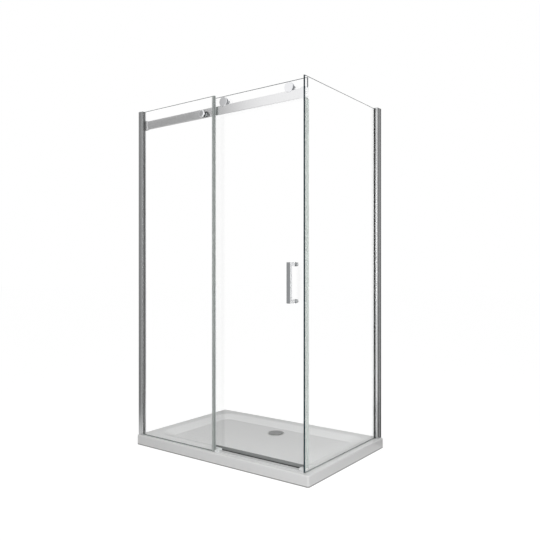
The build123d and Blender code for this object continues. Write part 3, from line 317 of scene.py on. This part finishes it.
# Bond pad of the right-hand socket: a sheet of acrylic foam tape, pressed between it and the side
# glass, through which it shows. It is white and dull, with a closed-cell grain.
foam_tape, tree = new_finish("acrylic_foam_tape")
place = put(tree, "ShaderNodeTexCoord").outputs["Object"]
cells = put(tree, "ShaderNodeTexNoise", {"Vector": place, "Scale": 1 / 0.002, "Detail": 2.0})
tone = put(tree, "ShaderNodeMix", {0: cells.outputs["Fac"], 6: linear("ececed"), 7: linear("f4f4f5")},
           data_type="RGBA")
shader = put(tree, "ShaderNodeBsdfPrincipled", {"Base Color": tone.outputs[2], "Roughness": 0.6,
                                                "IOR": 1.47})
put(tree, "ShaderNodeOutputMaterial", {"Surface": shader.outputs[0]})
dress(foam_tape, "rail_bracket_bond_pad")

# Right-hand socket, clamp cap, door stops, wheels and the rollers' back caps: turned or cast brass,
# polished and chromed. Chrome is a sharp, faintly blue mirror with the smallest haze.
chrome, tree = new_finish("chromed_brass")
place = put(tree, "ShaderNodeTexCoord").outputs["Object"]
haze = put(tree, "ShaderNodeTexNoise", {"Vector": place, "Scale": 1 / 0.02, "Detail": 2.0})
rough = put(tree, "ShaderNodeMapRange", {"Value": haze.outputs["Fac"], "To Min": 0.03, "To Max": 0.08})
tone = put(tree, "ShaderNodeMix", {0: haze.outputs["Fac"], 6: linear("ebecee"), 7: linear("f1f1f3")},
           data_type="RGBA")
shader = put(tree, "ShaderNodeBsdfPrincipled", {"Base Color": tone.outputs[2], "Metallic": 1.0,
                                                "Roughness": rough.outputs["Result"]})
put(tree, "ShaderNodeOutputMaterial", {"Surface": shader.outputs[0]})
dress(chrome, "rail_glass_bracket", "clamp_cap", "door_stops",
      "left_wheel", "right_wheel", "roller_back_caps")

# Screws, axles, nuts and bearings: stainless and bearing steel, turned and left plain from the
# lathe. The tool's marks blur every reflection, so they look a dull silver grey.
turned_steel, tree = new_finish("turned_stainless_steel")
place = put(tree, "ShaderNodeTexCoord").outputs["Object"]
turned = put(tree, "ShaderNodeTexNoise", {"Vector": place, "Scale": 1 / 0.002, "Detail": 2.0})
rough = put(tree, "ShaderNodeMapRange", {"Value": turned.outputs["Fac"], "To Min": 0.25, "To Max": 0.4})
tone = put(tree, "ShaderNodeMix", {0: turned.outputs["Fac"], 6: linear("a2a3a4"), 7: linear("b0b1b2")},
           data_type="RGBA")
shader = put(tree, "ShaderNodeBsdfPrincipled", {"Base Color": tone.outputs[2], "Metallic": 1.0,
                                                "Roughness": rough.outputs["Result"]})
put(tree, "ShaderNodeOutputMaterial", {"Surface": shader.outputs[0]})
dress(turned_steel, "profile_screws", "rail_grub_screws", "clamp_bolt", "stop_screws", "guide_screws",
      "handle_screws", "roller_axles", "roller_nuts", "left_bearing", "right_bearing")

# Bushes, washers, tyres and the clamp's spacer: moulded grey nylon, smooth and slightly waxy, so
# that glass never touches metal and the rollers run quietly. Its spark texture is drawn 1 mm wide.
nylon, tree = new_finish("moulded_grey_nylon")
place = put(tree, "ShaderNodeTexCoord").outputs["Object"]
spark = put(tree, "ShaderNodeTexNoise", {"Vector": place, "Scale": 1 / 0.001})
skin = put(tree, "ShaderNodeBump", {"Height": spark.outputs["Fac"], "Strength": 0.1, "Distance": 0.0002})
tone = put(tree, "ShaderNodeMix", {0: spark.outputs["Fac"], 6: linear("a6a8aa"), 7: linear("b2b4b6")},
           data_type="RGBA")
shader = put(tree, "ShaderNodeBsdfPrincipled", {"Base Color": tone.outputs[2], "Roughness": 0.4,
                                                "IOR": 1.5, "Normal": skin.outputs[0]})
put(tree, "ShaderNodeOutputMaterial", {"Surface": shader.outputs[0]})
dress(nylon, "clamp_bush", "clamp_spacer", "handle_bushes", "handle_washers", "roller_washers",
      "roller_bushes", "left_tyre", "right_tyre")

# Bottom guide: white acetal, moulded, screwed to the tray's rim. It is whiter and glossier than
# nylon, with the same coarse-drawn spark texture.
acetal, tree = new_finish("moulded_white_acetal")
place = put(tree, "ShaderNodeTexCoord").outputs["Object"]
spark = put(tree, "ShaderNodeTexNoise", {"Vector": place, "Scale": 1 / 0.001})
skin = put(tree, "ShaderNodeBump", {"Height": spark.outputs["Fac"], "Strength": 0.1, "Distance": 0.0002})
tone = put(tree, "ShaderNodeMix", {0: spark.outputs["Fac"], 6: linear("e2e4e4"), 7: linear("eaecec")},
           data_type="RGBA")
shader = put(tree, "ShaderNodeBsdfPrincipled", {"Base Color": tone.outputs[2], "Roughness": 0.3,
                                                "IOR": 1.48, "Normal": skin.outputs[0]})
put(tree, "ShaderNodeOutputMaterial", {"Surface": shader.outputs[0]})
dress(acetal, "bottom_guide")

# Threshold bar and corner block: clear cast acrylic, sawn to length, with polished faces, bonded
# on the tray's rim. The rim shows through, paler under the acrylic's own bright gloss.
clear_acrylic, tree = new_finish("clear_cast_acrylic")
place = put(tree, "ShaderNodeTexCoord").outputs["Object"]
haze = put(tree, "ShaderNodeTexNoise", {"Vector": place, "Scale": 1 / 0.02, "Detail": 1.0})
rough = put(tree, "ShaderNodeMapRange", {"Value": haze.outputs["Fac"], "To Min": 0.1, "To Max": 0.2})
tone = put(tree, "ShaderNodeMix", {0: haze.outputs["Fac"], 6: linear("f8f9f9"), 7: linear("fdfefe")},
           data_type="RGBA")
shader = put(tree, "ShaderNodeBsdfPrincipled", {"Base Color": tone.outputs[2], "IOR": 1.49,
                                                "Roughness": rough.outputs["Result"]})
clear = put(tree, "ShaderNodeBsdfTransparent")
surface = put(tree, "ShaderNodeMixShader", {0: 0.65, 1: clear.outputs[0], 2: shader.outputs[0]})
put(tree, "ShaderNodeOutputMaterial", {"Surface": surface.outputs[0]})
dress(clear_acrylic, "threshold_bar", "threshold_end_block")

# Door's bottom seal: grey vinyl, extruded, pushed on from below. It is duller and darker than the
# clear seals, and its drip fin hides the gap over the bar. Its tip is painted darker: painted shade.
fin_shade_height = 0.004
fin_shade_fade = 0.002
grey_vinyl, tree = new_finish("grey_extruded_vinyl")
place = put(tree, "ShaderNodeTexCoord").outputs["Object"]
drawn = put(tree, "ShaderNodeMapping", {"Vector": place, "Scale": (1 / 0.3, 1 / 0.004, 1 / 0.004)})
haze = put(tree, "ShaderNodeTexNoise", {"Vector": drawn.outputs[0], "Scale": 1.0, "Detail": 1.0})
rough = put(tree, "ShaderNodeMapRange", {"Value": haze.outputs["Fac"], "To Min": 0.25, "To Max": 0.4})
tone = put(tree, "ShaderNodeMix", {0: haze.outputs["Fac"], 6: linear("7c7e7d"), 7: linear("888a89")},
           data_type="RGBA")
# The fin's lowest 4 mm fades to a darker grey: painted shade under the seal.
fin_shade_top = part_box("door_bottom_seal")[0][2] + fin_shade_height
height = put(tree, "ShaderNodeSeparateXYZ", {0: place}).outputs["Z"]
fin_shade_mask = put(tree, "ShaderNodeMapRange", {"Value": height, "From Min": fin_shade_top,
                                       "From Max": fin_shade_top + fin_shade_fade})
tone = put(tree, "ShaderNodeMix", {0: fin_shade_mask.outputs["Result"], 6: linear("4e504f"), 7: tone.outputs[2]},
           data_type="RGBA")
shader = put(tree, "ShaderNodeBsdfPrincipled", {"Base Color": tone.outputs[2], "IOR": 1.45,
                                                "Roughness": rough.outputs["Result"]})
put(tree, "ShaderNodeOutputMaterial", {"Surface": shader.outputs[0]})
dress(grey_vinyl, "door_bottom_seal")

# Handle: a solid stainless bar on two square posts, with a round cap behind the glass at each. The
# bar's wide faces are brushed to a darker satin, with lines drawn 0.6 mm apart to show. Each post's
# foot is brushed duller and painted darker: painted shade where it meets the glass. The rest is
# polished, and mirrors the room a little softly.
brushed_steel, tree = new_finish("crosswise_brushed_stainless")
place = put(tree, "ShaderNodeTexCoord").outputs["Object"]
brushed = put(tree, "ShaderNodeMapping", {"Vector": place, "Scale": (1 / 0.02, 1 / 0.02, 1 / 0.0006)})
lines = put(tree, "ShaderNodeTexNoise", {"Vector": brushed.outputs[0], "Scale": 1.0, "Detail": 2.0})
rough = put(tree, "ShaderNodeMapRange", {"Value": lines.outputs["Fac"], "To Min": 0.25, "To Max": 0.38})
tone = put(tree, "ShaderNodeMix", {0: lines.outputs["Fac"], 6: linear("8b8d8f"), 7: linear("9b9d9f")},
           data_type="RGBA")
shader = put(tree, "ShaderNodeBsdfPrincipled", {"Base Color": tone.outputs[2], "Metallic": 1.0,
                                                "Roughness": rough.outputs["Result"]})
put(tree, "ShaderNodeOutputMaterial", {"Surface": shader.outputs[0]})
dress(brushed_steel, "handle_bar")

polished_steel, tree = new_finish("polished_stainless_steel")
place = put(tree, "ShaderNodeTexCoord").outputs["Object"]
haze = put(tree, "ShaderNodeTexNoise", {"Vector": place, "Scale": 1 / 0.01, "Detail": 2.0})
rough = put(tree, "ShaderNodeMapRange", {"Value": haze.outputs["Fac"], "To Min": 0.08, "To Max": 0.16})
tone = put(tree, "ShaderNodeMix", {0: haze.outputs["Fac"], 6: linear("dcddde"), 7: linear("e6e7e8")},
           data_type="RGBA")
shader = put(tree, "ShaderNodeBsdfPrincipled", {"Base Color": tone.outputs[2], "Metallic": 1.0,
                                                "Roughness": rough.outputs["Result"]})
put(tree, "ShaderNodeOutputMaterial", {"Surface": shader.outputs[0]})
dress(polished_steel, "handle_inner_caps")
bar = nodes["handle_bar"].data
bar.materials.append(polished_steel)
for face in bar.polygons:
    face.material_index = 0 if abs(face.normal.y) > 0.9 else 1

# Each post's last 9 mm towards the glass is rougher and painted darker: painted shade at the glass.
brushed_and_shaded_foot = 0.009
brush_and_shade_fade = 0.0005
post_steel, tree = new_finish("polished_post_with_brushed_and_shaded_foot")
place = put(tree, "ShaderNodeTexCoord").outputs["Object"]
haze = put(tree, "ShaderNodeTexNoise", {"Vector": place, "Scale": 1 / 0.01, "Detail": 2.0})
foot_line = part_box("handle_posts")[1][1] - brushed_and_shaded_foot
depth = put(tree, "ShaderNodeSeparateXYZ", {0: place}).outputs["Y"]
foot = put(tree, "ShaderNodeMapRange", {"Value": depth, "From Min": foot_line,
                                        "From Max": foot_line + brush_and_shade_fade})
rough = put(tree, "ShaderNodeMapRange", {"Value": foot.outputs["Result"], "To Min": 0.12, "To Max": 0.35})
tone = put(tree, "ShaderNodeMix", {0: haze.outputs["Fac"], 6: linear("dcddde"), 7: linear("e6e7e8")},
           data_type="RGBA")
tone = put(tree, "ShaderNodeMix", {0: foot.outputs["Result"], 6: tone.outputs[2], 7: linear("8f9193")},
           data_type="RGBA")
shader = put(tree, "ShaderNodeBsdfPrincipled", {"Base Color": tone.outputs[2], "Metallic": 1.0,
                                                "Roughness": rough.outputs["Result"]})
put(tree, "ShaderNodeOutputMaterial", {"Surface": shader.outputs[0]})
dress(post_steel, "handle_posts")

# Studio: a white sweep with soft daylight from the open side, where the viewer stands, and less
# from above and behind. The floor keeps a soft shadow.
def seen_as_white(tree):
    """1 for a ray from the camera, a mirror or a pane, which meets a plain white room, and else 0."""
    path = put(tree, "ShaderNodeLightPath")
    seen = put(tree, "ShaderNodeMath", {0: path.outputs["Is Camera Ray"],
                                        1: path.outputs["Is Glossy Ray"]}, operation="MAXIMUM")
    return put(tree, "ShaderNodeMath", {0: seen.outputs[0], 1: path.outputs["Is Transmission Ray"]},
               operation="MAXIMUM").outputs[0]


scene = bpy.context.scene
scene.view_settings.view_transform = "Standard"
world = bpy.data.worlds.new("daylight")
scene.world = world
world.use_nodes = True
tree = world.node_tree
tree.nodes.clear()
window_side = (0.55, -0.83, 0.1)
heading = put(tree, "ShaderNodeTexCoord").outputs["Generated"]
open_side = put(tree, "ShaderNodeVectorMath", {0: heading, 1: window_side}, operation="DOT_PRODUCT")
soft = put(tree, "ShaderNodeMapRange", {"Value": open_side.outputs["Value"], "From Min": -0.2,
                                        "From Max": 1.0, "To Min": 0.38, "To Max": 0.85})
daylight = put(tree, "ShaderNodeBackground", {"Color": (1, 1, 1, 1), "Strength": soft.outputs["Result"]})
white = put(tree, "ShaderNodeBackground", {"Color": (1, 1, 1, 1), "Strength": 1.0})
shown = put(tree, "ShaderNodeMixShader", {0: seen_as_white(tree), 1: daylight.outputs[0],
                                          2: white.outputs[0]})
put(tree, "ShaderNodeOutputWorld", {"Surface": shown.outputs[0]})

reach = 30
floor_mesh = bpy.data.meshes.new("studio_floor")
floor_mesh.from_pydata([(-reach, -reach, 0), (reach, -reach, 0), (reach, reach, 0), (-reach, reach, 0)],
                       [], [(0, 1, 2, 3)])
floor = bpy.data.objects.new("studio_floor", floor_mesh)
scene.collection.objects.link(floor)
floor_paint, tree = new_finish("white_floor_paint")
paint = put(tree, "ShaderNodeBsdfDiffuse", {"Color": linear("b8b8b8")})
shadow_catch = put(tree, "ShaderNodeBsdfDiffuse", {"Color": linear("8c8c8c")})
glow = put(tree, "ShaderNodeEmission", {"Color": (1, 1, 1, 1), "Strength": 0.86})
sweep = put(tree, "ShaderNodeAddShader", {0: shadow_catch.outputs[0], 1: glow.outputs[0]})
surface = put(tree, "ShaderNodeMixShader", {0: seen_as_white(tree), 1: paint.outputs[0],
                                            2: sweep.outputs[0]})
put(tree, "ShaderNodeOutputMaterial", {"Surface": surface.outputs[0]})
floor_paint.cycles.emission_sampling = "NONE"
floor_mesh.materials.append(floor_paint)

# Corner lamp: one broad soft lamp at the front right, which lights the tray's near corner most. It
# adds a little to the daylight and shows in no reflection.
lamp_data = bpy.data.lights.new("corner_lamp", "AREA")
lamp_data.size = 1.4
lamp_data.energy = 24
lamp = bpy.data.objects.new("corner_lamp", lamp_data)
scene.collection.objects.link(lamp)
lamp.location = (1.7, -1.9, 1.3)
tray_corner = Vector((0.3, -0.3, 0.1))
lamp.rotation_euler = (tray_corner - lamp.location).to_track_quat("-Z", "Y").to_euler()
lamp.visible_glossy = False
lamp.visible_camera = False

# Flags: three grey felt cloths stand on grey mats and give bright metal something dark to mirror.
# One is left of the front and fades to white towards the middle, one is behind the right-hand wall
# profile, and a paler one behind the tray. Only blurred reflections see them, never a pane or the
# camera. A row holds the name, start and end across, depth of cloth and of the mat's near end, top,
# share of brightness at the foot, and the tones across.
above_floor = 0.001
shaded_share = 0.35
flags = (("left_flag", (-3.6, -0.5), (-1.6, -0.42), 4.0, 0.8,
          ((0.0, 0.32), (0.74, 0.33), (0.8, 0.47), (0.84, 0.62), (0.88, 0.8), (0.96, 1.0))),
         ("right_flag", (0.45, 1.75), (1.4, 0.42), 4.0, 0.5,
          ((0.0, 0.2), (0.52, 0.2), (0.75, 0.75), (1.0, 1.0))),
         ("back_flag", (-3.5, 1.5), (2.0, 1.9), 1.4, 1.0, ((0.0, 0.4), (1.0, 0.4))))
for name, (start, end), (depth, foot), top, foot_share, tones in flags:
    mesh = bpy.data.meshes.new(name)
    rows = ((foot, above_floor, 0.0), (depth, above_floor, 0.0), (depth, top, 1.0))
    mesh.from_pydata([(side, y, z) for y, z, rise in rows for side in (start, end)],
                     [], [(0, 1, 3, 2), (2, 3, 5, 4)])
    across = mesh.uv_layers.new(name="across")
    for corner in mesh.loops:
        across.data[corner.index].uv = (corner.vertex_index % 2, rows[corner.vertex_index // 2][2])
    flag = bpy.data.objects.new(name, mesh)
    scene.collection.objects.link(flag)
    flag.visible_camera = False
    flag.visible_diffuse = False
    flag.visible_shadow = False
    felt, tree = new_finish("grey_felt_" + name)
    at = put(tree, "ShaderNodeSeparateXYZ", {0: put(tree, "ShaderNodeTexCoord").outputs["UV"]})
    fade = put(tree, "ShaderNodeValToRGB", {0: at.outputs["X"]})
    fade.color_ramp.elements.remove(fade.color_ramp.elements[1])
    for step, (share, tone) in enumerate(tones):
        stop = fade.color_ramp.elements[0] if step == 0 else fade.color_ramp.elements.new(share)
        stop.position = share
        stop.color = (tone, tone, tone, 1)
    rise = put(tree, "ShaderNodeMapRange", {"Value": at.outputs["Y"], "From Max": shaded_share,
                                            "To Min": foot_share, "To Max": 1.0})
    shade = put(tree, "ShaderNodeEmission", {"Color": fade.outputs["Color"],
                                             "Strength": rise.outputs["Result"]})
    gone = put(tree, "ShaderNodeBsdfTransparent")
    path = put(tree, "ShaderNodeLightPath")
    after_metal = put(tree, "ShaderNodeMath", {0: path.outputs["Glossy Depth"], 1: 0.5},
                      operation="GREATER_THAN")
    off_a_pane = put(tree, "ShaderNodeMath", {0: path.outputs["Is Reflection Ray"],
                                              1: path.outputs["Is Singular Ray"]}, operation="MULTIPLY")
    mirrored = put(tree, "ShaderNodeMath", {0: after_metal.outputs[0], 1: off_a_pane.outputs[0]},
                   operation="SUBTRACT", use_clamp=True)
    in_and_out = put(tree, "ShaderNodeMath", {0: path.outputs["Transmission Depth"], 1: 2.0, 2: 0.5},
                     operation="COMPARE")
    inside_a_pane = put(tree, "ShaderNodeMath", {0: in_and_out.outputs[0],
                                                 1: path.outputs["Is Transmission Ray"]},
                        operation="MULTIPLY")
    mirrored = put(tree, "ShaderNodeMath", {0: mirrored.outputs[0], 1: inside_a_pane.outputs[0]},
                   operation="SUBTRACT", use_clamp=True)
    surface = put(tree, "ShaderNodeMixShader", {0: mirrored.outputs[0], 1: gone.outputs[0],
                                                2: shade.outputs[0]})
    put(tree, "ShaderNodeOutputMaterial", {"Surface": surface.outputs[0]})
    felt.cycles.emission_sampling = "NONE"
    mesh.materials.append(felt)

# Camera: at chest height in front of the right-hand corner, level, and fitted to the edges of the
# tray and the glass.
camera_data = bpy.data.cameras.new("camera")
camera_data.sensor_width = 36
camera_data.lens = 39.53
camera_data.shift_y = 0.0019
camera_data.clip_end = 100
camera = bpy.data.objects.new("camera", camera_data)
scene.collection.objects.link(camera)
camera.location = (2.1055, -2.7488, 1.0199)
camera.rotation_euler = (radians(90), 0, radians(36.38))
scene.camera = camera
